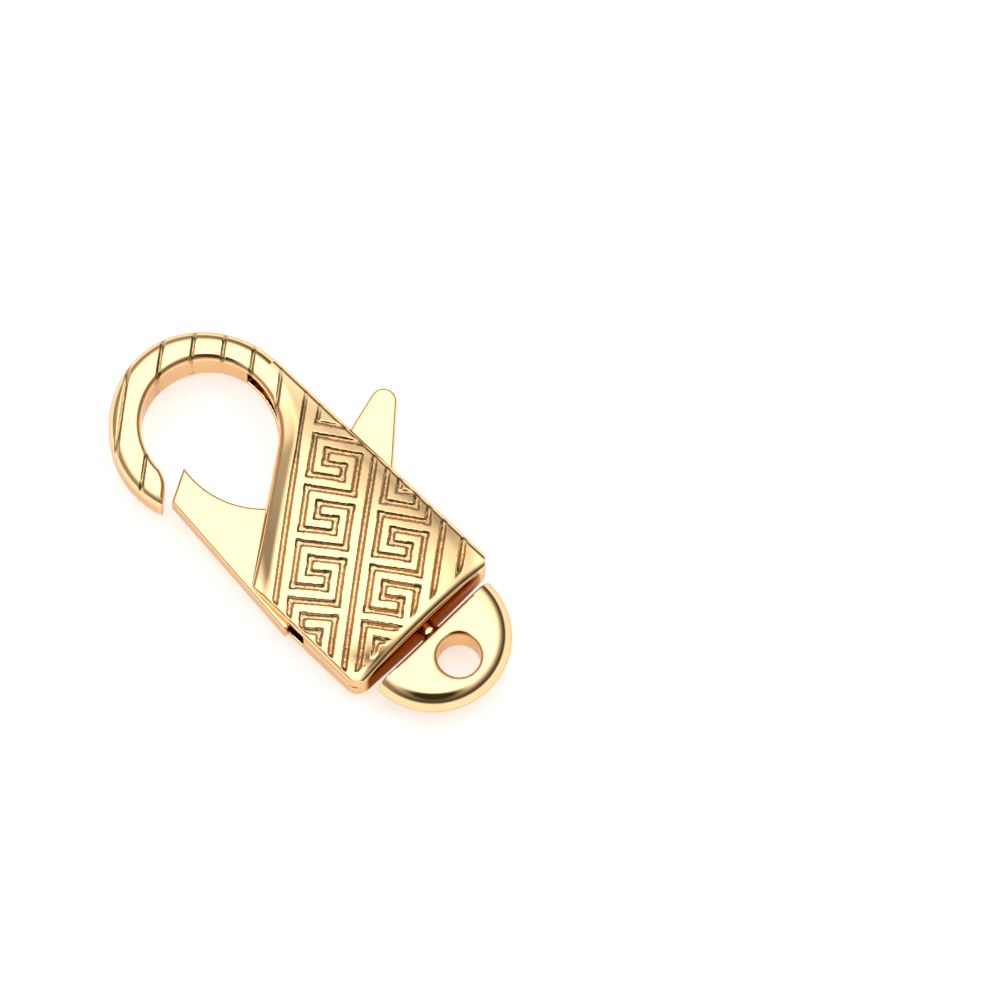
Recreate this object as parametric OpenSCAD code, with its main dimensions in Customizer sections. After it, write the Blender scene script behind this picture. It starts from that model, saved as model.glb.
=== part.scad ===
// Lobster clasp with a key pattern on both faces, a sprung gate lever and a swivel eye.
// Millimetres. The origin is the middle of the swivel eye's hole, X runs to the hook,
// Y to the gate side and Z through the thickness, with the middle plane at zero.

/* [Body] */
// Where the flat ring end of the body stands along X
end_x = 2.9; // [2.8:0.05:3.1]
// Distance of the gate side from the swivel axis
gate_side = 6.1; // [6:0.05:6.3]
// Distance of the tab side from the swivel axis
tab_side = 5.95; // [5.85:0.05:6.1]
// Half of the thickness at the middle of the body
crown = 2.5; // [2.4:0.05:2.65]
// Angle by which each face falls away towards the hook
fall = 1.4; // [1:0.1:1.8]
// Radius of the domed faces across the body
dome_r = 18; // [16:1:22]
// Radius of the body's corners seen from above
corner_r = 1.1; // [0.8:0.1:1.3]
// Height at which the side walls turn into their rounded rim
side_z = 1.3; // [1.2:0.05:1.35]
// Radius of the rounded rim along the sides and round the hook
side_r = 1; // [0.95:0.05:1.1]
// Radius of the rounded rim at the ring end
end_r = 1.5; // [1.4:0.05:1.6]
// Thickness of the wall at the ring end
end_wall = 1.3; // [1.2:0.05:1.4]
// Thickness of the two side walls
side_wall = 1; // [0.9:0.05:1.1]

/* [Hook] */
// Middle of the hook along X
hook_x = 22.25; // [22.1:0.05:22.4]
// Middle of the hook along Y
hook_y = 0.45; // [0.4:0.05:0.5]
// Outer radius of the hook
hook_r = 6.2; // [6.15:0.05:6.3]
// Radius of the round part of the hook's opening
eye_r = 4.25; // [4.2:0.05:4.35]
// Radius of the opening where it runs into the body
root_r = 5.2; // [5.1:0.05:5.3]
// Lean of the body's edge beside the opening
edge_lean = 55.3; // [54.8:0.1:55.8]
// Height at which the opening's walls turn into their rounded rim
eye_z = 1.05; // [1:0.05:1.1]
// Radius of the rounded rim of the opening
eye_rim_r = 1.25; // [1.2:0.05:1.3]

/* [Relief] */
// Width of the cast grooves
groove_w = 0.38; // [0.3:0.02:0.44]
// Depth of the cast grooves
groove_d = 0.24; // [0.16:0.02:0.3]
// Length of one key figure
key_pitch = 3.69; // [3.65:0.01:3.73]
// Height of one key figure between its outer grooves
key_h = 2.97; // [2.93:0.01:3.01]
// Lean of the key bands from the X direction
band_lean = 53; // [52:0.5:54]
// Distance between the straight grooves over the hook
line_step = 1.93; // [1.9:0.01:1.96]

/* [Lever] */
// Pivot of the lever along X
pivot_x = 11.3; // [11.2:0.05:11.4]
// Pivot of the lever along Y
pivot_y = -1.7; // [-1.8:0.05:-1.6]
// Thickness of the gate lever
lever_t = 1.6; // [1.5:0.05:1.65]
// Where the gate begins along the gate side
gate_back = 9.05; // [9:0.05:9.2]
// How far the gate's back end stands out of the gate side
gate_proud = 0.44; // [0.36:0.02:0.5]
// Radius of the hollow edge of the gate
gate_hollow = 6.1; // [6:0.05:6.2]
// Radius of the lever round its pivot
hub_r = 2.2; // [2:0.05:2.4]
// Radius of the round end of the thumb tab
tab_end_r = 0.86; // [0.8:0.02:0.9]
// Diameter of the pivot pin
pin_d = 1.2; // [1.1:0.05:1.3]
// Length of the pivot pin
pin_len = 3.4; // [3.2:0.1:3.6]

/* [Swivel eye] */
// Radius of the half disc
disc_r = 5; // [4.85:0.05:5.1]
// Where the flat side of the half disc stands along X
disc_x = 2.3; // [2.25:0.05:2.4]
// Thickness of the half disc
disc_t = 2.6; // [2.4:0.05:2.8]
// Radius of the round edge of the half disc
disc_edge = 0.75; // [0.6:0.05:0.8]
// Diameter of the hole for the ring
hole_d = 2.75; // [2.65:0.05:2.85]
// Softening of the hole's rim
hole_edge = 0.25; // [0.2:0.05:0.3]
// Diameter of the post
post_d = 1.35; // [1.25:0.05:1.4]
// Diameter of the head on the post
head_d = 1.8; // [1.75:0.05:1.85]
// Thickness of the head on the post
head_t = 0.7; // [0.6:0.05:0.8]

/* [Fits] */
// Clearance on the radius of the turning post and pin
run_gap = 0.03; // [0.02:0.01:0.05]
// Clearance between the head and its pocket
head_gap = 0.12; // [0.1:0.01:0.15]
// Free height on each side of the lever
lever_gap = 0.15; // [0.1:0.01:0.2]
// Clearance of the lever from the ends of its slots
slot_gap = 0.3; // [0.25:0.01:0.35]

/* [Hidden] */
$fn = 96;
reach = 20;
overlap = 8;
tall = 8;
past = 2.5;
slot_z = lever_t / 2 + lever_gap;
head_x = end_x + end_wall + head_gap;

// The faces stand at their full height here
crown_x = 8;

// The window in the gate side lies between this place and the gate
window_x = 7.9;
seam_h = 0.28;
seam_d = 0.35;

// The slot of the thumb tab in the tab side
tab_slot = [8.6, 16.1];

// The edge beside the opening touches the root arc here
eye_x = hook_x - 0.1;
eye_y = hook_y - 0.05;
root_y = eye_y + root_r - eye_r;
touch = [eye_x - root_r * sin(edge_lean), root_y - root_r * cos(edge_lean)];
corner_x = touch[0] - (gate_side - touch[1]) / tan(edge_lean);

// The tab side leans a little towards the hook
hook_low = [hook_x, hook_y - hook_r];
side_lean = atan((hook_low[1] + tab_side) / (hook_low[0] - end_x));

// Corners of the hook's tip and of the gate's tip
hook_tip = [20.3, 6.28];
hook_heel = [21.36, 4.94];
gate_tip = [20.2, 5.55];
gate_heel = [21.3, 3.4];
gate_reach = norm(gate_tip - [pivot_x, pivot_y]);
tab_root = [14.05, -1.2];
tab_front = [15.8, -6.4];
tab_rear = [12.3, -6.4];
hollow_at = [20.1, 3.5 - gate_hollow];
tab_end = [15.5, -8.7];

// Angles where the tab's sides meet its round end, and where its rear meets the hub
tab_meets = [10, 222];
hub_meets = 40;

// Rows of a key figure as shares of its height, and the two bands
rows = [0, 0.293, 0.7, 1];
low_band = [0.92, 3.18];
high_band = [1.99, 8.06];
low_cells = 4;
high_cells = 5;

// Straight grooves: place across the bands, start and end along them
hook_line = 13.78;
lines = concat(
  [[0.73, 0, 14], [2.13, -4, 16], [7.08, -6, 20], [12.01, -6, 24]],
  [for (i = [0:3]) [hook_line + i * line_step, 8, 24]],
  [for (i = [4:5]) [hook_line + i * line_step, 2, 24]]
);

// One key figure as quarter steps along the band and row numbers
key_path = [[3, 0], [3, 2], [2, 2], [2, 1], [1, 1], [1, 3], [4, 3], [4, 0]];

// Path of a key band that starts one figure before its first whole one
function band(first, cells) = concat(
  [[first[0] - key_pitch, first[1]]],
  [for (c = [-1:cells - 2]) for (p = key_path)
    [first[0] + (c + p[0] / 4) * key_pitch, first[1] + rows[p[1]] * key_h]]
);
function side(a, b) = [a[1] - b[1], b[0] - a[0]] / norm(b - a);

// One bank of a groove along a path with square turns, s to its left
function bank(path, s) = [for (i = [0:len(path) - 1])
  i == 0 ? path[0] + s * side(path[0], path[1])
  : i == len(path) - 1 ? path[i] + s * side(path[i - 1], path[i])
  : path[i] + s * (side(path[i - 1], path[i]) + side(path[i], path[i + 1]))];
function turned(list) = [for (i = [len(list) - 1:-1:0]) list[i]];
function ribbon(path) = concat(bank(path, groove_w / 2), turned(bank(path, -groove_w / 2)));

// Domed space between the two faces, lowered by d
module dome(d) {
  intersection() {
    translate([crown_x, 0, crown - dome_r])
      rotate([0, 90 + fall, 0])
        translate([0, 0, -2 * reach])
          cylinder(h = 4 * reach, r = dome_r - d);
    translate([crown_x, 0, dome_r - crown])
      rotate([0, 90 - fall, 0])
        translate([0, 0, -2 * reach])
          cylinder(h = 4 * reach, r = dome_r - d);
  }
}

// Section cut away over a rim: the wall stands at x = 0 and the metal at x > 0
module rim_section(z, r, d) {
  for (s = [0, 1])
    mirror([0, s])
      difference() {
        translate([-past, z])
          square([past + r, tall / 2]);
        translate([r, z])
          circle(r = r - d);
      }
}

// Straight rim from a point in a direction, with the metal on the left
module straight_rim(at, turn, length, z, r, d) {
  translate([at[0], at[1], 0])
    rotate([0, 0, turn])
      rotate([90, 0, 90])
        linear_extrude(height = length)
          rim_section(z, r, d);
}

// Round rim, with the metal inside its radius or outside
module round_rim(at, radius, from, to, inside, z, r, d) {
  translate([at[0], at[1], 0])
    rotate([0, 0, from])
      rotate_extrude(angle = to - from)
        translate([radius, 0])
          mirror([inside ? 1 : 0, 0])
            rim_section(z, r, d);
}

// All the room that the casting may fill, lowered by d: the dome less its rims
module form(d) {
  difference() {
    difference() {
      dome(d);
      straight_rim([end_x, reach], -90, 2 * reach, side_z, end_r, d);
      straight_rim([corner_x + 1, gate_side], 180, reach, side_z, side_r, d);
      straight_rim(hook_low - reach * [cos(side_lean), sin(side_lean)], side_lean, reach,
        side_z, side_r, d);
      round_rim([hook_x, hook_y], hook_r, -90, 115, true, side_z, side_r, d);
      straight_rim(touch, 180 - edge_lean, reach, eye_z, eye_rim_r, d);
      round_rim([eye_x, eye_y], eye_r, -90, 90, false, eye_z, eye_rim_r, d);
    }
    round_rim([eye_x, root_y], root_r, 270 - edge_lean - overlap, 270, false,
      eye_z, eye_rim_r, d);
  }
}

// Plan of the casting before the opening is cut
module plan() {
  low_y = -tab_side + corner_r * tan(side_lean) + corner_r / cos(side_lean);
  linear_extrude(height = tall, center = true)
    polygon([
      [end_x, low_y], [end_x, gate_side - corner_r],
      [end_x + corner_r, gate_side],
      [corner_x - 0.3, gate_side], [corner_x + 0.35, gate_side - 0.15],
      [hook_x, hook_y], hook_low,
      [end_x + corner_r + corner_r * sin(side_lean), low_y - corner_r * cos(side_lean)]
    ]);
  translate([hook_x, hook_y, -tall / 2])
    cylinder(h = tall, r = hook_r);
  translate([end_x + corner_r, gate_side - corner_r, -tall / 2])
    cylinder(h = tall, r = corner_r);
  translate([end_x + corner_r, low_y, -tall / 2])
    cylinder(h = tall, r = corner_r);
}

// The opening of the hook and the room of the gate
module opening() {
  translate([eye_x, eye_y, -tall / 2])
    cylinder(h = tall, r = eye_r);
  intersection() {
    translate([eye_x, root_y, -tall / 2])
      cylinder(h = tall, r = root_r);
    translate([eye_x - tall, root_y - tall, -tall / 2])
      cube([tall, tall, tall]);
  }
  linear_extrude(height = tall, center = true)
    polygon([
      touch, [eye_x, root_y], [eye_x, eye_y + eye_r], hook_heel, hook_tip,
      hook_tip + 1.2 * (hook_tip - hook_heel),
      [touch[0] - (tall - touch[1]) / tan(edge_lean), tall]
    ]);
}

// Room of the lever between the two cheeks
module cavity() {
  slot_r = gate_reach + slot_gap;
  inner_x = end_x + end_wall;
  low_y = -tab_side + side_wall;
  linear_extrude(height = 2 * slot_z, center = true)
    polygon(concat(
      [[inner_x, low_y], [inner_x, gate_side - side_wall], [window_x, gate_side - side_wall],
       [window_x, gate_side + 2], [16, gate_side + 2], [17.5, 1]],
      [for (a = [-3:-2:-17]) [pivot_x + slot_r * cos(a), pivot_y + slot_r * sin(a)]],
      [[tab_slot[1], low_y], [tab_slot[1], low_y - 3], [tab_slot[0], low_y - 3],
       [tab_slot[0], low_y]]
    ));
}

// Everything sunk into one face
module relief() {
  difference() {
    rotate([0, 0, -band_lean])
      linear_extrude(height = tall / 2) {
        polygon(ribbon(band(low_band, low_cells)));
        polygon(ribbon(band(high_band, high_cells)));
        for (l = lines)
          translate([l[1], l[0] - groove_w / 2])
            square([l[2] - l[1], groove_w]);
      }
    form(groove_d);
  }
}

// Holes for the post, its head and the pin, and the seam beside the window
module body_holes() {
  translate([end_x - 1, 0, 0])
    rotate([0, 90, 0])
      cylinder(h = end_wall + 2, r = post_d / 2 + run_gap);
  translate([end_x + end_wall, 0, 0])
    rotate([0, 90, 0])
      cylinder(h = head_t + 2 * head_gap, r = head_d / 2 + head_gap);
  translate([pivot_x, pivot_y, -pin_len / 2])
    cylinder(h = pin_len, r = pin_d / 2);
  translate([end_x + 0.4, gate_side - seam_d, -seam_h / 2])
    cube([window_x - end_x, 1, seam_h]);
}

// The casting before its relief
module plain_body() {
  difference() {
    intersection() {
      plan();
      form(0);
    }
    opening();
    cavity();
    body_holes();
  }
}

// The casting: two cheeks, walls, hook and key relief in one piece
module body() {
  color([0.93, 0.79, 0.5])
    difference() {
      difference() {
        plain_body();
        relief();
      }
      mirror([0, 0, 1])
        relief();
    }
}

// Gate blade with its hollow edge, from the pivot to the hook's tip
module gate_blade() {
  difference() {
    linear_extrude(height = lever_t, center = true)
      polygon([
        [gate_back, gate_side + gate_proud], gate_tip, gate_heel,
        [hollow_at[0], pivot_y], [pivot_x - hub_r, pivot_y]
      ]);
    translate([hollow_at[0], hollow_at[1], -lever_t])
      cylinder(h = 2 * lever_t, r = gate_hollow);
  }
}

// Thumb tab with its round end
module thumb_tab() {
  linear_extrude(height = lever_t, center = true)
    polygon([
      [pivot_x, pivot_y], tab_root, tab_front,
      tab_end + tab_end_r * [cos(tab_meets[0]), sin(tab_meets[0])],
      tab_end + tab_end_r * [cos(tab_meets[1]), sin(tab_meets[1])],
      tab_rear, [pivot_x, pivot_y] - hub_r * [cos(hub_meets), sin(hub_meets)]
    ]);
  translate([tab_end[0], tab_end[1], -lever_t / 2])
    cylinder(h = lever_t, r = tab_end_r);
}

// Gate blade, hub and thumb tab in one flat piece
module gate_lever() {
  color([0.9, 0.74, 0.44])
    difference() {
      union() {
        gate_blade();
        thumb_tab();
        translate([pivot_x, pivot_y, -lever_t / 2])
          cylinder(h = lever_t, r = hub_r);
      }
      translate([pivot_x, pivot_y, -lever_t])
        cylinder(h = 2 * lever_t, r = pin_d / 2 + run_gap);
    }
}

// Plain pin across the cheeks
module pivot_pin() {
  color([0.8, 0.66, 0.4])
    translate([pivot_x, pivot_y, -pin_len / 2])
      cylinder(h = pin_len, r = pin_d / 2);
}

// Section of the half disc from its middle outwards
module disc_section() {
  difference() {
    union() {
      translate([0, -disc_t / 2])
        square([disc_r - disc_edge, disc_t]);
      translate([0, -disc_t / 2 + disc_edge])
        square([disc_r, disc_t - 2 * disc_edge]);
      for (s = [-1, 1])
        translate([disc_r - disc_edge, s * (disc_t / 2 - disc_edge)])
          circle(r = disc_edge);
    }
    translate([-past, -tall / 2])
      square([past, tall]);
  }
}

// Half disc with the ring hole, its post and the head inside the body
module swivel_eye() {
  color([0.93, 0.78, 0.48])
    union() {
      difference() {
        translate([disc_x, 0, 0])
          rotate_extrude()
            disc_section();
        translate([disc_x, -reach, -tall / 2])
          cube([reach, 2 * reach, tall]);
        translate([0, 0, -disc_t])
          cylinder(h = 2 * disc_t, r = hole_d / 2);
        for (s = [0, 1])
          mirror([0, 0, s])
            translate([0, 0, disc_t / 2 - hole_edge])
              cylinder(h = hole_edge, r1 = hole_d / 2, r2 = hole_d / 2 + hole_edge);
      }
      translate([disc_x - 0.4, 0, 0])
        rotate([0, 90, 0])
          cylinder(h = head_x - disc_x + 0.5, r = post_d / 2);
      translate([head_x, 0, 0])
        rotate([0, 90, 0])
          cylinder(h = head_t, r = head_d / 2);
    }
}

body();
gate_lever();
pivot_pin();
swivel_eye();
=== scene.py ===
# Lobster clasp: the looks of the cast body, the gate lever and the swivel eye.
# Each shape is a smooth distance field in millimetres, below zero in metal.
# A field becomes a mesh with exact normals, in place of the CAD node of that shape.
import math
import bpy
import numpy as np
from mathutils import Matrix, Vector


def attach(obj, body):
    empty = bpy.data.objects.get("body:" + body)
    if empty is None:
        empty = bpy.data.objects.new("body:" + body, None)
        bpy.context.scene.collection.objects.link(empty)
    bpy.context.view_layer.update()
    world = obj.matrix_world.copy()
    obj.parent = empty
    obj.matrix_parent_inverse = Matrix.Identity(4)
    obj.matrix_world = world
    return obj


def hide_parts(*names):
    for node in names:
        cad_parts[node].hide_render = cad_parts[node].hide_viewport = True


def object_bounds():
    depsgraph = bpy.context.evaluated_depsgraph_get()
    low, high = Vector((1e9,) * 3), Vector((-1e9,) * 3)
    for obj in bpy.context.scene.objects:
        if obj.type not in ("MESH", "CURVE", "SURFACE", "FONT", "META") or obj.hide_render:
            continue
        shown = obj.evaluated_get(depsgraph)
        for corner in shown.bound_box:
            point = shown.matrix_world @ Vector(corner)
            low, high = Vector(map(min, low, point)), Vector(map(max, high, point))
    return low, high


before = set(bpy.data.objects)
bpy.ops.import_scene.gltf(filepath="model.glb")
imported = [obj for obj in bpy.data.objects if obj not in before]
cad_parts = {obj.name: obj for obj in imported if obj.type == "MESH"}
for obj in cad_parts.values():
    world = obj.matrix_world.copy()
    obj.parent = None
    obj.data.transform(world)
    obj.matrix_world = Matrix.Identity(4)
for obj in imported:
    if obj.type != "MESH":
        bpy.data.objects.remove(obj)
cad_box = [list(c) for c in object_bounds()]
MM = 0.001

# Outline of the body, with the part's own sizes
END_X, GATE_Y, TAB_Y = 2.9, 6.1, -5.95
HOOK, HOOK_R = (22.25, 0.45), 6.2
EYE_X, EYE_Y, EYE_R = 22.15, 0.4, 4.25
ROOT_Y, ROOT_R, LEAN = 1.35, 5.2, math.radians(55.3)
TOUCH = (EYE_X - ROOT_R * math.sin(LEAN), ROOT_Y - ROOT_R * math.cos(LEAN))
TIP, HEEL = (20.3, 6.28), (21.36, 4.94)
HEEL_R = 0.3
PIVOT = (11.3, -1.7)

# Faces: domed, falling towards the hook, lower at the ring end, the tab side and the opening
CROWN, DOME_R, DOME_X, FALL = 2.5, 18.0, 8, math.radians(1.4)
RING_REACH, RING_DROP, RING_POWER = 4.4, 0.7, 2.4
SIDE_REACH, SIDE_BEND, SIDE_END, SIDE_FADE = 1.5, 0.035, 21, 3
BEVEL_REACH, BEVEL_BEND, BEVEL_SLOPE = 1.3, 0.4, 0.42
BEVEL_EASE, BEVEL_HOOK, BEVEL_FADE = 0.1, 17, 2
LOWEST, LOWEST_BLEND = 1.36, 0.35
# Rounded rims where the faces meet the ring end, the gate side, the tab side, hook and opening
RING_RIM, GATE_RIM, TAB_RIM, HOOK_RIM, EYE_RIM = 0.5, 0.22, 0.45, 0.75, 0.38
CORNER_R, TIP_R, ROOM_RIM = 1.1, 0.3, 0.1
RING_BULGE = 0.02
# Brings the leaning faces nearer to a true distance
FACE_SCALE = 0.97

# Grooves: depth, half width, corners, banks, and where they fade out
GROOVE_D, GROOVE_HALF, GROOVE_CORNER, BANK = 0.18, 0.19, 0.16, 0.19
ON_HOOK, HOOK_FADE, HOOK_LESS = 15.6, 1.6, 0.45
TAB_FADE, TAB_TURN, RING_CLEAR, RING_FADE = 1.1, 0.01, 0.6, 0.7
GATE_CLEAR, GATE_FADE, SWELL = 0.1, 0.35, 0.05
BOLD, BOLD_END, BOLD_FADE = 0.6, 7.5, 3

# Room between the cheeks, its window and slots, the hole for the post and the casting seam
ROOM_X, ROOM_R, ROOM_HALF = 4.2, 11.8, 0.95
ROOM_GATE_Y, WINDOW_X = 5.1, 7.9
ROOM_TAB_Y, TAB_SLOT = -4.95, (8.6, 16.1)
POST_HOLE_R, POST_HOLE_X = 0.705, 4.6
SEAM, SEAM_HALF, SEAM_DEPTH = (3.3, 8.2), 0.14, 0.35

# Gate lever
BLADE = [(9.05, 6.54), (20.2, 5.55), (21.3, 3.4), (20.1, -1.7), (9.1, -1.7)]
BITE, BITE_R, POINT_R = (20.1, -2.6), 6.1, 0.1
TAB_END, TAB_R, TAB_FRONT, TAB_REAR = (15.5, -8.7), 0.86, 10, 222
HUB_R, PIN_HOLE_R, LEVER_HALF, LEVER_RIM = 2.2, 0.63, 0.8, 0.2

# Half disc with the ring hole, its post and the head on the post
DISC_X, DISC_R, DISC_HALF, DISC_RIM = 2.3, 5.0, 1.3, 0.95
DISC_FALL, FALL_FROM, FALL_REACH = 0.4, 2.6, 2.4
HOLE_FALL, HOLE_REACH, HOLE_R, HOLE_RIM = 0.55, 1.9, 1.375, 0.18
FLAT_CORNER, FLAT_RIM = 0.2, 0.3
POST, POST_R, POST_FILLET = (1.8, 4.9), 0.675, 0.25
HEAD, HEAD_R, HEAD_RIM = (4.32, 5.02), 0.9, 0.1


# Field tools
def meet(a, b, r):
    """Where both a and b hold, with an outer edge of radius r."""
    u, v = np.maximum(a + r, 0), np.maximum(b + r, 0)
    return np.minimum(np.maximum(a, b), -r) + np.hypot(u, v)


def join(a, b, k):
    """a or b, with a fillet of size k."""
    h = np.maximum(k - np.abs(a - b), 0) / k
    return np.minimum(a, b) - h * h * k / 4


def smooth(t):
    """From 0 to 1 with level ends."""
    t = np.clip(t, 0, 1)
    return t * t * (3 - 2 * t)


def away(x, y, p):
    """Distance from a point."""
    return np.hypot(x - p[0], y - p[1])


def line(x, y, p, q):
    """Distance from the line p to q, above zero on its left."""
    length = math.dist(p, q)
    return ((x - p[0]) * (p[1] - q[1]) + (y - p[1]) * (q[0] - p[0])) / length


def polygon(x, y, pts):
    """Signed distance to a closed outline."""
    d = np.full(np.shape(x), 1e9)
    s = np.ones(np.shape(x))
    for i, b in enumerate(pts):
        a = pts[i - 1]
        ex, ey = b[0] - a[0], b[1] - a[1]
        wx, wy = x - a[0], y - a[1]
        t = np.clip((wx * ex + wy * ey) / (ex * ex + ey * ey), 0, 1)
        d = np.minimum(d, (wx - ex * t) ** 2 + (wy - ey * t) ** 2)
        up, down = y >= a[1], y >= b[1]
        side = ex * wy - ey * wx
        s = np.where((up & ~down & (side < 0)) | (~up & down & (side > 0)), -s, s)
    return s * np.sqrt(d)


# Cast pattern: two key bands and straight grooves, at an angle to the clasp.
# A figure of the key is a list of corners, in quarters of the pitch and rows.
BAND = math.radians(53)
PITCH, KEY_H = 3.69, 2.97
ROWS = (0, 0.293 * KEY_H, 0.7 * KEY_H, KEY_H)
KEY = ((3, 0), (3, 2), (2, 2), (2, 1), (1, 1), (1, 3), (4, 3), (4, 0))
# Start of each key band and the number of its figures
BANDS = (((0.92, 3.18), 4), ((1.99, 8.06), 5))
# Straight grooves: place across the bands, then first and last place along them
STRAIGHT = [(0.73, 0, 14), (2.13, -4, 16), (7.08, -6, 20), (12.01, -6, 24)]
STRAIGHT += [(13.78 + 1.93 * i, 8 if i < 4 else 2, 24) for i in range(6)]


def key_segments():
    """Straight pieces of all grooves, each from one corner to the next."""
    found = []
    for (a0, b0), figures in BANDS:
        path = [(a0 - PITCH, b0)]
        for c in range(-1, figures - 1):
            path += [(a0 + (c + k / 4) * PITCH, b0 + ROWS[r]) for k, r in KEY]
        found += zip(path, path[1:])
    return found + [((a, b), (c, b)) for b, a, c in STRAIGHT]


SEGMENTS = key_segments()


def pattern(x, y):
    """Distance from the groove edges, below zero inside a groove."""
    a = x * math.cos(BAND) - y * math.sin(BAND)
    b = x * math.sin(BAND) + y * math.cos(BAND)
    d = np.full(np.shape(x), 9.0)
    for (a0, b0), (a1, b1) in SEGMENTS:
        qa = np.abs(a - (a0 + a1) / 2) - (abs(a1 - a0) / 2 + GROOVE_HALF)
        qb = np.abs(b - (b0 + b1) / 2) - (abs(b1 - b0) / 2 + GROOVE_HALF)
        box = np.hypot(np.maximum(qa, 0), np.maximum(qb, 0)) + np.minimum(np.maximum(qa, qb), 0)
        d = join(d, box, GROOVE_CORNER)
    return d


def groove(x, y):
    """Depth of the pattern, from 0 to 1."""
    hook = smooth((x - ON_HOOK) / HOOK_FADE)
    t = smooth((SWELL - SWELL * hook - pattern(x, y)) / BANK)
    edge = smooth((y - TAB_Y - TAB_TURN * (x - END_X)) / TAB_FADE)
    edge = edge * smooth((x - END_X - RING_CLEAR) / RING_FADE)
    edge = edge * np.maximum(smooth((GATE_Y - y - GATE_CLEAR) / GATE_FADE), hook)
    return t * (1 - HOOK_LESS * hook) * edge


def plan_opening(x, y):
    """Above zero in the hook's opening and in the room of the gate."""
    lean = (x - TOUCH[0]) * math.sin(LEAN) + (y - TOUCH[1]) * math.cos(LEAN)
    along = -(x - TOUCH[0]) * math.cos(LEAN) + (y - TOUCH[1]) * math.sin(LEAN)
    root = ROOT_R - away(x, y, (EYE_X, ROOT_Y))
    left = np.where(along > 0, lean, root)
    end = -line(x, y, HEEL, TIP)
    inner = line(x, y, HEEL, (EYE_X, EYE_Y + EYE_R))
    left = np.minimum(left, -join(end, inner, HEEL_R))
    return np.where(x < EYE_X, left, EYE_R - away(x, y, (EYE_X, EYE_Y)))


def face(x, y, hole):
    """Height of the polished face before its pattern."""
    middle = (CROWN - DOME_R) - (x - DOME_X) * math.tan(FALL)
    h = middle + np.sqrt(np.maximum(DOME_R ** 2 - y * y, 0)) / math.cos(FALL)
    ring = np.clip(1 - (x - END_X) / RING_REACH, 0, 1)
    t = np.maximum(hole + BEVEL_REACH, 0)
    bevel = np.where(t < BEVEL_BEND, t * t / (2 * BEVEL_BEND), t - BEVEL_BEND / 2)
    bevel = bevel * (BEVEL_SLOPE - BEVEL_EASE * smooth((x - BEVEL_HOOK) / BEVEL_FADE))
    side = np.clip(TAB_Y + SIDE_REACH - y, 0, SIDE_REACH) * smooth((SIDE_END - x) / SIDE_FADE)
    h = h - RING_DROP * ring ** RING_POWER - bevel - SIDE_BEND * side ** 2
    return -join(-h, -LOWEST + 0 * h, LOWEST_BLEND)


def rooms(x, y, z):
    """Above zero in the hollows inside the body."""
    az = np.abs(z)
    gate_side = np.maximum(ROOM_GATE_Y - y, x - WINDOW_X)
    tab_side = np.maximum(y - ROOM_TAB_Y, np.minimum(x - TAB_SLOT[0], TAB_SLOT[1] - x))
    room = np.minimum(np.minimum(gate_side, tab_side), x - ROOM_X)
    room = np.minimum(np.minimum(room, ROOM_R - away(x, y, PIVOT)), ROOM_HALF - az)
    post = np.minimum(POST_HOLE_R - np.hypot(y, z), POST_HOLE_X - x)
    seam = np.minimum(np.minimum(SEAM_HALF - az, y - GATE_Y + SEAM_DEPTH),
                      np.minimum(x - SEAM[0], SEAM[1] - x))
    return np.maximum(room, np.maximum(post, seam))


def body(x, y, z, g=None):
    """The cast body. g is the depth of its pattern, where that is known already."""
    if g is None:
        g = groove(x, y)
    hole = plan_opening(x, y)
    # The curls are bolder at the ring end
    bold = 1 + BOLD * smooth((BOLD_END - x) / BOLD_FADE)
    top = (np.abs(z) - face(x, y, hole) + GROOVE_D * g * bold) * FACE_SCALE
    ring, gate = END_X - x + RING_BULGE * z * z, y - GATE_Y
    tab = line(x, y, (HOOK[0], HOOK[1] - HOOK_R), (END_X, TAB_Y))
    disc = away(x, y, HOOK) - HOOK_R
    block = np.maximum(np.maximum(meet(ring, top, RING_RIM), meet(gate, top, GATE_RIM)),
                       np.maximum(meet(tab, top, TAB_RIM), x - EYE_X))
    block = np.maximum(block, np.maximum(meet(ring, gate, CORNER_R), meet(ring, tab, CORNER_R)))
    solid = np.minimum(block, meet(disc, top, HOOK_RIM))
    plan = np.minimum(np.maximum(np.maximum(gate, tab), x - EYE_X), disc)
    solid = np.maximum(solid, meet(plan, hole, TIP_R))
    solid = np.maximum(solid, meet(hole, top, EYE_RIM))
    return meet(solid, rooms(x, y, z), ROOM_RIM)


def around(a):
    """A point on the round end of the thumb tab."""
    return (TAB_END[0] + TAB_R * math.cos(math.radians(a)),
            TAB_END[1] + TAB_R * math.sin(math.radians(a)))


TAB = [PIVOT, (14.05, -1.2), (15.8, -6.4), around(TAB_FRONT),
       around(TAB_REAR), (12.3, -6.4), (9.61, -3.11)]


def lever(x, y, z):
    """The gate, the hub and the thumb tab."""
    blade = meet(polygon(x, y, BLADE), BITE_R - away(x, y, BITE), POINT_R)
    tab = np.minimum(polygon(x, y, TAB), away(x, y, TAB_END) - TAB_R)
    hub = away(x, y, PIVOT)
    plan = np.minimum(np.minimum(blade, tab), hub - HUB_R)
    plan = np.maximum(plan, PIN_HOLE_R - hub)
    return meet(plan, np.abs(z) - LEVER_HALF, LEVER_RIM)


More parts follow.
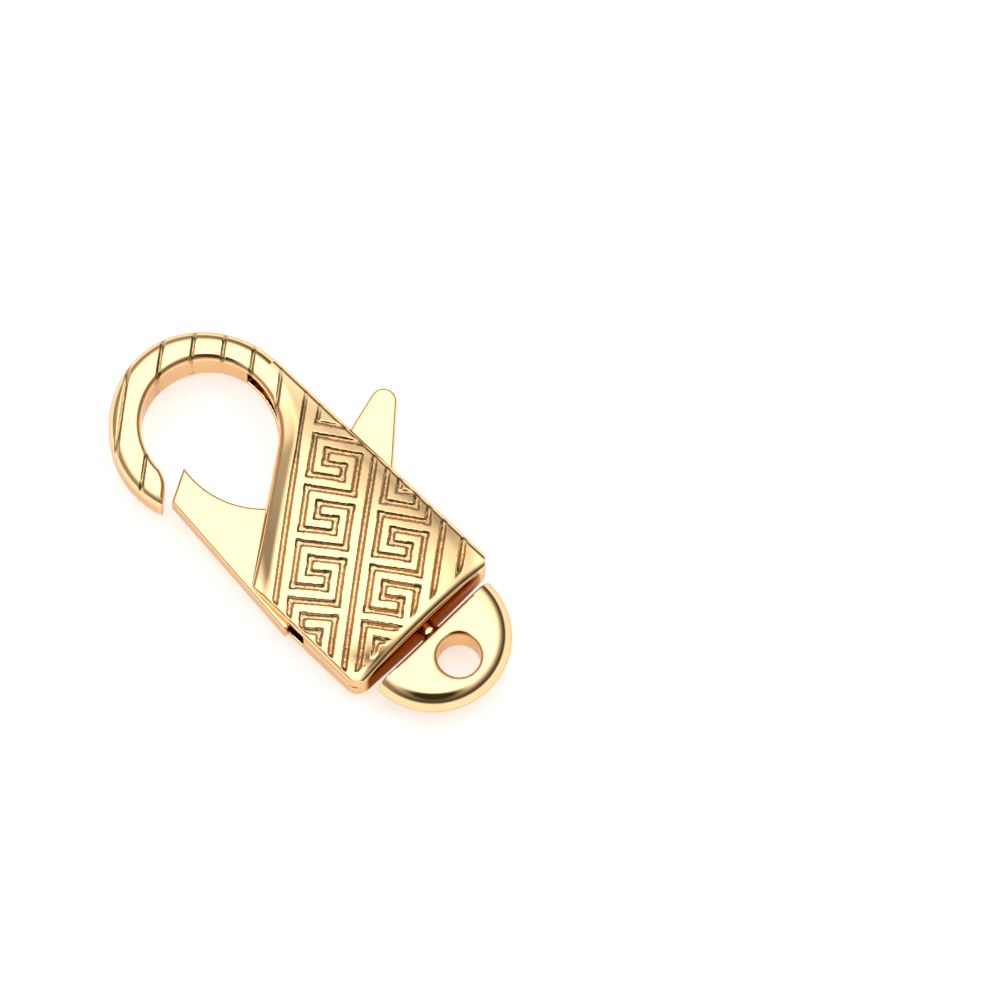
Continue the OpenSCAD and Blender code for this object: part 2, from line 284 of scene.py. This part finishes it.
def eye(x, y, z):
    """The half disc with its post and the head on the post."""
    az = np.abs(z)
    r, ring = np.hypot(x - DISC_X, y), np.hypot(x, y)
    fall = (DISC_FALL * np.clip((r - FALL_FROM) / FALL_REACH, 0, 1) ** 2
            + HOLE_FALL * np.clip(HOLE_REACH - ring, 0, 1) ** 2)
    disc = meet(r - DISC_R, az - DISC_HALF + fall, DISC_RIM)
    flat = meet(x - DISC_X, r - DISC_R, FLAT_CORNER)
    disc = np.maximum(disc, meet(flat, az - DISC_HALF, FLAT_RIM))
    disc = meet(disc, HOLE_R - ring, HOLE_RIM)
    rod = np.hypot(y, z)
    post = np.maximum(rod - POST_R, np.maximum(x - POST[1], POST[0] - x))
    head = meet(rod - HEAD_R, np.maximum(HEAD[0] - x, x - HEAD[1]), HEAD_RIM)
    return np.minimum(join(disc, post, POST_FILLET), head)


# From field to mesh
def net(layers, lo, hi, h):
    """Mesh of a field's zero surface on a grid of step h: points and four-sided faces."""
    n = [int(math.ceil((b - a) / h)) + 1 for a, b in zip(lo, hi)]
    ax = [lo[i] + h * np.arange(n[i]) for i in range(3)]
    X, Y = np.meshgrid(ax[0], ax[1], indexing="ij")
    layer = layers(X, Y)
    F = np.empty(n, dtype=np.float64)
    for k in range(n[2]):
        F[:, :, k] = layer(ax[2][k])
    sign = F < 0
    cells = tuple(m - 1 for m in n)

    def part(values, c):
        """The values at one corner of every cell."""
        return values[tuple(slice(c[i], c[i] + cells[i]) for i in range(3))]

    # One point in each cell that the surface crosses: the mean of its crossings
    total, count = np.zeros(cells + (3,)), np.zeros(cells)
    for a in [(i, j, k) for i in (0, 1) for j in (0, 1) for k in (0, 1)]:
        for i in range(3):
            if a[i]:
                continue
            b = tuple(c + (m == i) for m, c in enumerate(a))
            fa, fb = part(F, a), part(F, b)
            hit = part(sign, a) != part(sign, b)
            t = np.where(hit, fa / np.where(hit, fa - fb, 1), 0)
            for m in range(3):
                total[..., m] += np.where(hit, a[m] + (t if m == i else 0), 0)
            count += hit
    used = count > 0
    index = np.full(cells, -1)
    index[used] = np.arange(used.sum())
    points = np.array(lo) + h * (np.argwhere(used) + total[used] / count[used][:, None])

    # One face for each grid edge that the surface crosses
    quads = []
    for i in range(3):
        j, k = (i + 1) % 3, (i + 2) % 3
        step = [0, 0, 0]
        step[i] = 1
        a = sign[:n[0] - step[0], :n[1] - step[1], :n[2] - step[2]]
        b = sign[step[0]:, step[1]:, step[2]:]
        e = np.argwhere(a != b)
        e = e[(e[:, j] > 0) & (e[:, k] > 0) & (e[:, j] < cells[j]) & (e[:, k] < cells[k])]
        inside = a[tuple(e.T)]
        ring = []
        for dj, dk in ((1, 1), (0, 1), (0, 0), (1, 0)):
            c = e.copy()
            c[:, j] -= dj
            c[:, k] -= dk
            ring.append(index[tuple(c.T)])
        q = np.stack(ring, 1)
        quads.append(np.where(inside[:, None], q, q[:, ::-1]))
    return points, np.concatenate(quads)


def slope(field, p, e=0.008):
    """Outward direction of a field at its points, not scaled, measured over e."""
    g = np.zeros(p.shape)
    for sx, sy, sz in ((1, -1, -1), (-1, -1, 1), (-1, 1, -1), (1, 1, 1)):
        v = field(p[:, 0] + sx * e, p[:, 1] + sy * e, p[:, 2] + sz * e)
        g += v[:, None] * np.array([sx, sy, sz])
    return g / (4 * e)


def settle(field, p, h, rounds=2, least=0.3):
    """Moves points onto the zero surface, by less than half a grid step in a round."""
    for _ in range(rounds):
        f, g = field(p[:, 0], p[:, 1], p[:, 2]), slope(field, p)
        step = g * (f / np.maximum((g * g).sum(1), least))[:, None]
        size = np.linalg.norm(step, axis=1)
        p = p - step * np.minimum(1, 0.4 * h / np.maximum(size, 1e-9))[:, None]
    return p


def by_layers(field):
    """A field as net asks for it: first x and y, then each z."""
    return lambda X, Y: (lambda z: field(X, Y, z))


def body_layers(X, Y):
    """The body's field by layers, with its pattern worked out only once."""
    g = groove(X, Y)
    return lambda z: body(X, Y, z, g)


def piece(name, node, on, slot, field, layers, lo, hi, h, keep, material):
    """Builds one piece from its field, in place of a CAD node."""
    points, quads = net(layers, lo, hi, h)
    points = settle(field, points, h)
    mesh = bpy.data.meshes.new(name)
    mesh.from_pydata((points * MM).tolist(), [], quads.tolist())
    obj = bpy.data.objects.new(name, mesh)
    bpy.context.scene.collection.objects.link(obj)
    if keep < 1:
        cut = obj.modifiers.new("cut", "DECIMATE")
        cut.ratio = keep
        obj.data = bpy.data.meshes.new_from_object(
            obj.evaluated_get(bpy.context.evaluated_depsgraph_get()))
        obj.modifiers.clear()
        mesh = obj.data
        n = len(mesh.vertices)
        flat = np.empty(n * 3)
        mesh.vertices.foreach_get("co", flat)
        points = settle(field, flat.reshape(n, 3) / MM, h)
        mesh.vertices.foreach_set("co", (points * MM).ravel())
        mesh.update()
    normals = slope(field, points)
    normals /= np.maximum(np.linalg.norm(normals, axis=1), 1e-9)[:, None]
    mesh.shade_smooth()
    mesh.normals_split_custom_set_from_vertices(normals.tolist())
    mesh.materials.append(material)
    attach(obj, on)
    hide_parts(node)
    triangles = sum(len(q.vertices) - 2 for q in mesh.polygons)
    print(name, len(mesh.vertices), "points", triangles, "triangles")
    return obj, points


def store(obj, name, values):
    """Keeps one number for each point of a mesh, for its material."""
    layer = obj.data.attributes.new(name, "FLOAT", "POINT")
    layer.data.foreach_set("value", values.astype(np.float32))


# Materials: light gold plate, polished
GOLD = (1.0, 0.68, 0.36)
EDGE = (0.76, 0.62, 0.55, 1)
# Cast ground in the grooves; painted shade on their banks, and painted shade and reflection on the
# wall at the ring end, behind the half disc
GROUND, BANK_SHADE = (0.55, 0.38, 0.22, 1), (0.5, 0.33, 0.16, 1)
WALL_SHADE, WALL_SHADE_TINT = (0.42, 0.17, 0.06, 1), (0.38, 0.27, 0.26, 1)
BRASS = (0.8, 0.6, 0.32)
# Sockets of a Mix node set to colours: factor, the two colours and the result
FACTOR, FIRST, SECOND, RESULT = 0, 6, 7, 2


def fill(node, values):
    """Sets the values of a node's sockets."""
    for socket, value in values.items():
        node.inputs[socket].default_value = value


def add(tree, kind, values=None, **settings):
    """A new node, with its settings and then the values of its sockets."""
    node = tree.nodes.new("ShaderNode" + kind)
    for name, value in settings.items():
        setattr(node, name, value)
    fill(node, values or {})
    return node


def plate(name, base, grain_and_shade, rough=0.07):
    """Metal plate; on request also the cast ground in the grooves, painted shade on their banks,
    and painted shade and reflection on the wall at the ring end.
    """
    m = bpy.data.materials.new(name)
    m.use_nodes = True
    t = m.node_tree
    link = t.links.new
    shader = t.nodes["Principled BSDF"]
    base = (*base, 1)
    fill(shader, {"Metallic": 1.0, "Base Color": base, "Roughness": rough, "Specular Tint": EDGE})
    at = add(t, "TexCoord")
    wave = add(t, "TexNoise", {"Scale": 420, "Detail": 2})
    soft = add(t, "Bump", {"Strength": 0.12, "Distance": 0.00002})
    link(at.outputs["Object"], wave.inputs["Vector"])
    link(wave.outputs["Fac"], soft.inputs["Height"])
    if not grain_and_shade:
        link(soft.outputs["Normal"], shader.inputs["Normal"])
        return m
    mask = add(t, "Attribute", attribute_name="groove").outputs["Fac"]
    # Mask of the painted shade and reflection on the ring-end wall
    wall_shade_mask = add(t, "Attribute", attribute_name="wall_shade_mask").outputs["Fac"]

    # Fine pits in the grooves, as bump on top of the plate's own
    pits = add(t, "TexNoise", {"Scale": 5200, "Detail": 3})
    deep = add(t, "Math", operation="MULTIPLY")
    grit = add(t, "Bump", {"Strength": 0.8, "Distance": 0.00005})
    link(at.outputs["Object"], pits.inputs["Vector"])
    link(pits.outputs["Fac"], deep.inputs[0])
    link(mask, deep.inputs[1])
    link(deep.outputs[0], grit.inputs["Height"])
    link(soft.outputs["Normal"], grit.inputs["Normal"])
    link(grit.outputs["Normal"], shader.inputs["Normal"])

    # Duller in the grooves
    dull = add(t, "MapRange", {"To Min": rough, "To Max": 0.3})
    link(mask, dull.inputs["Value"])
    link(dull.outputs["Result"], shader.inputs["Roughness"])

    # Painted shade on the groove banks: brown where the mask is half way
    rest = add(t, "Math", {0: 1.0}, operation="SUBTRACT")
    half = add(t, "Math", operation="MULTIPLY")
    bank = add(t, "MapRange", {"From Max": 0.2})
    banks = add(t, "Mix", {FIRST: base, SECOND: BANK_SHADE}, data_type="RGBA")
    link(mask, rest.inputs[1])
    link(rest.outputs[0], half.inputs[0])
    link(mask, half.inputs[1])
    link(half.outputs[0], bank.inputs["Value"])
    link(bank.outputs["Result"], banks.inputs[FACTOR])

    # Brown pits in the ground
    shade = add(t, "MapRange", {"From Min": 0.46, "From Max": 0.62})
    share = add(t, "Math", operation="MULTIPLY")
    ground = add(t, "Mix", {SECOND: GROUND}, data_type="RGBA")
    link(pits.outputs["Fac"], shade.inputs["Value"])
    link(shade.outputs["Result"], share.inputs[0])
    link(mask, share.inputs[1])
    link(share.outputs[0], ground.inputs[FACTOR])
    link(banks.outputs[RESULT], ground.inputs[FIRST])

    # Painted shade and reflection on the wall behind the half disc: a dark orange-brown colour and
    # a darker specular tint
    wall = add(t, "Mix", {SECOND: WALL_SHADE}, data_type="RGBA")
    edge = add(t, "Mix", {FIRST: EDGE, SECOND: WALL_SHADE_TINT}, data_type="RGBA")
    link(wall_shade_mask, wall.inputs[FACTOR])
    link(ground.outputs[RESULT], wall.inputs[FIRST])
    link(wall.outputs[RESULT], shader.inputs["Base Color"])
    link(wall_shade_mask, edge.inputs[FACTOR])
    link(edge.outputs[RESULT], shader.inputs["Specular Tint"])
    return m


gold = plate("gold_plate", GOLD, False)
cast = plate("gold_cast_and_painted_shade", GOLD, True)

# Grid steps, the share of the body's faces that is kept, and the box round each piece
BODY_STEP, BODY_KEEP, STEP = 0.085, 0.52, 0.11
BODY_BOX = (2.5, -6.3, -2.85), (28.8, 7.0, 2.85)
LEVER_BOX = (8.8, -9.8, -1.0), (21.6, 6.8, 1.0)
EYE_BOX = (-2.95, -5.25, -1.55), (5.3, 5.25, 1.55)

shell, at = piece("clasp_body", "body", "body", "body",
                  body, body_layers, *BODY_BOX, BODY_STEP, BODY_KEEP, cast)
piece("gate", "gate_lever", "lever", "lever",
      lever, by_layers(lever), *LEVER_BOX, STEP, 1, gold)
piece("half_disc", "swivel_eye", "swivel", "eye",
      eye, by_layers(eye), *EYE_BOX, STEP, 1, gold)
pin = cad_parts["pivot_pin"]
pin.data.materials.clear()
pin.data.materials.append(plate("pin_brass", BRASS, False, 0.25))

# Masks of the body's material: the grooves of the faces, and the painted shade and reflection on
# the wall at the ring end.
# The painted wall shade ends short of the corners and fades out over the rim of the faces.
FACE_Z = 1.1
WALL_X, WALL_Y, WALL_FADE, RIM_OVER, RIM_FADE = 3.5, (-4.9, 5.4), 0.3, 0.1, 0.5
x, y, z = at[:, 0], at[:, 1], np.abs(at[:, 2])
store(shell, "groove", groove(x, y) * (z > FACE_Z))
wall = smooth((WALL_X - x) / WALL_FADE)
wall = wall * smooth((y - WALL_Y[0]) / WALL_FADE) * smooth((WALL_Y[1] - y) / WALL_FADE)
rim = face(x, y, plan_opening(x, y)) + RIM_OVER
store(shell, "wall_shade_mask", wall * smooth((rim - z) / RIM_FADE))

# Pale floor just under the clasp
FLOOR_HALF, FLOOR_GAP = 3, 0.00002
floor_z = cad_box[0][2] - FLOOR_GAP
square = ((-1, -1), (1, -1), (1, 1), (-1, 1))
mesh = bpy.data.meshes.new("floor")
mesh.from_pydata([(FLOOR_HALF * a, FLOOR_HALF * b, floor_z) for a, b in square],
                 [], [(0, 1, 2, 3)])
floor = bpy.data.objects.new("floor", mesh)
bpy.context.scene.collection.objects.link(floor)
paper = bpy.data.materials.new("paper")
paper.use_nodes = True
fill(paper.node_tree.nodes["Principled BSDF"], {
    "Base Color": (0.82, 0.835, 0.85, 1), "Roughness": 0.9,
    "Emission Color": (1, 1, 1, 1), "Emission Strength": 0.5})
mesh.materials.append(paper)

# Room round the clasp. First its brightness by height, from the floor to the zenith.
STOPS = [(0.0, 0.6), (0.08, 0.3), (0.18, 0.03), (0.40, 0.06),
         (0.60, 0.24), (0.80, 0.62), (0.90, 1.0)]
WARM_G, WARM_B, BRIGHTNESS = 0.985, 0.96, 2.0
world = bpy.data.worlds.new("studio")
bpy.context.scene.world = world
world.use_nodes = True
tree = world.node_tree
tree.nodes.clear()
link = tree.links.new
where = add(tree, "TexCoord").outputs["Generated"]
split = add(tree, "SeparateXYZ")
ramp = add(tree, "ValToRGB")
link(where, split.inputs[0])
link(split.outputs["Z"], ramp.inputs[0])
elements = ramp.color_ramp.elements
while len(elements) < len(STOPS):
    elements.new(0.5)
for element, (height, v) in zip(elements, STOPS):
    element.position = height
    element.color = (v, v * WARM_G, v * WARM_B, 1)
# A dark patch of room on the camera's side, well below the zenith
dark = add(tree, "VectorMath", {1: (-0.45, 0.45, 0.77)}, operation="DISTANCE")
near = add(tree, "MapRange", {"From Min": 0.26, "From Max": 0.62}, interpolation_type="SMOOTHSTEP")
dim = add(tree, "Mix", {FIRST: (0.02, 0.016, 0.012, 1)}, data_type="RGBA")
link(where, dark.inputs[0])
link(dark.outputs["Value"], near.inputs["Value"])
link(near.outputs["Result"], dim.inputs[FACTOR])
link(ramp.outputs[0], dim.inputs[SECOND])
# The far side of the room is lit by the bright wall behind the clasp
turn = add(tree, "VectorMath", {1: (0.85, 0.25, 0.0)}, operation="DOT_PRODUCT")
far = add(tree, "MapRange", {"From Min": -0.1, "From Max": 0.45}, interpolation_type="SMOOTHSTEP")
lit = add(tree, "Mix", {SECOND: (0.17, 0.163, 0.152, 1)}, data_type="RGBA", blend_type="LIGHTEN")
link(where, turn.inputs[0])
link(turn.outputs["Value"], far.inputs["Value"])
link(far.outputs["Result"], lit.inputs[FACTOR])
link(dim.outputs[RESULT], lit.inputs[FIRST])
back = add(tree, "Background", {1: BRIGHTNESS})
out = add(tree, "OutputWorld")
link(lit.outputs[RESULT], back.inputs[0])
link(back.outputs[0], out.inputs[0])
bpy.context.scene.view_settings.view_transform = "Standard"

# Camera: high over the ring end's tab corner, long lens, as in the photograph.
# The ring hole's place and the scale are in pixels of the photograph's frame.
az, el = math.radians(225), math.radians(72)
FRAME, HOLE_AT, PX_PER_MM = 1000, (459, 661), 15.8
LENS, SENSOR = 900, 36
look = Vector((math.sin(az) * math.cos(el), -math.cos(az) * math.cos(el), math.sin(el)))
right = Vector((math.cos(az), math.sin(az), 0))
up = Vector((-math.sin(az) * math.sin(el), math.cos(az) * math.sin(el), math.cos(el)))
aim = (right * (FRAME / 2 - HOLE_AT[0]) - up * (FRAME / 2 - HOLE_AT[1])) / PX_PER_MM * MM
data = bpy.data.cameras.new("camera")
data.lens, data.sensor_width = LENS, SENSOR
cam = bpy.data.objects.new("camera", data)
cam.location = aim + look * (FRAME / PX_PER_MM * MM * LENS / SENSOR)
cam.rotation_mode = "QUATERNION"
cam.rotation_quaternion = look.to_track_quat("Z", "Y")
data.clip_start, data.clip_end = 0.01, 10
bpy.context.scene.collection.objects.link(cam)
bpy.context.scene.camera = cam
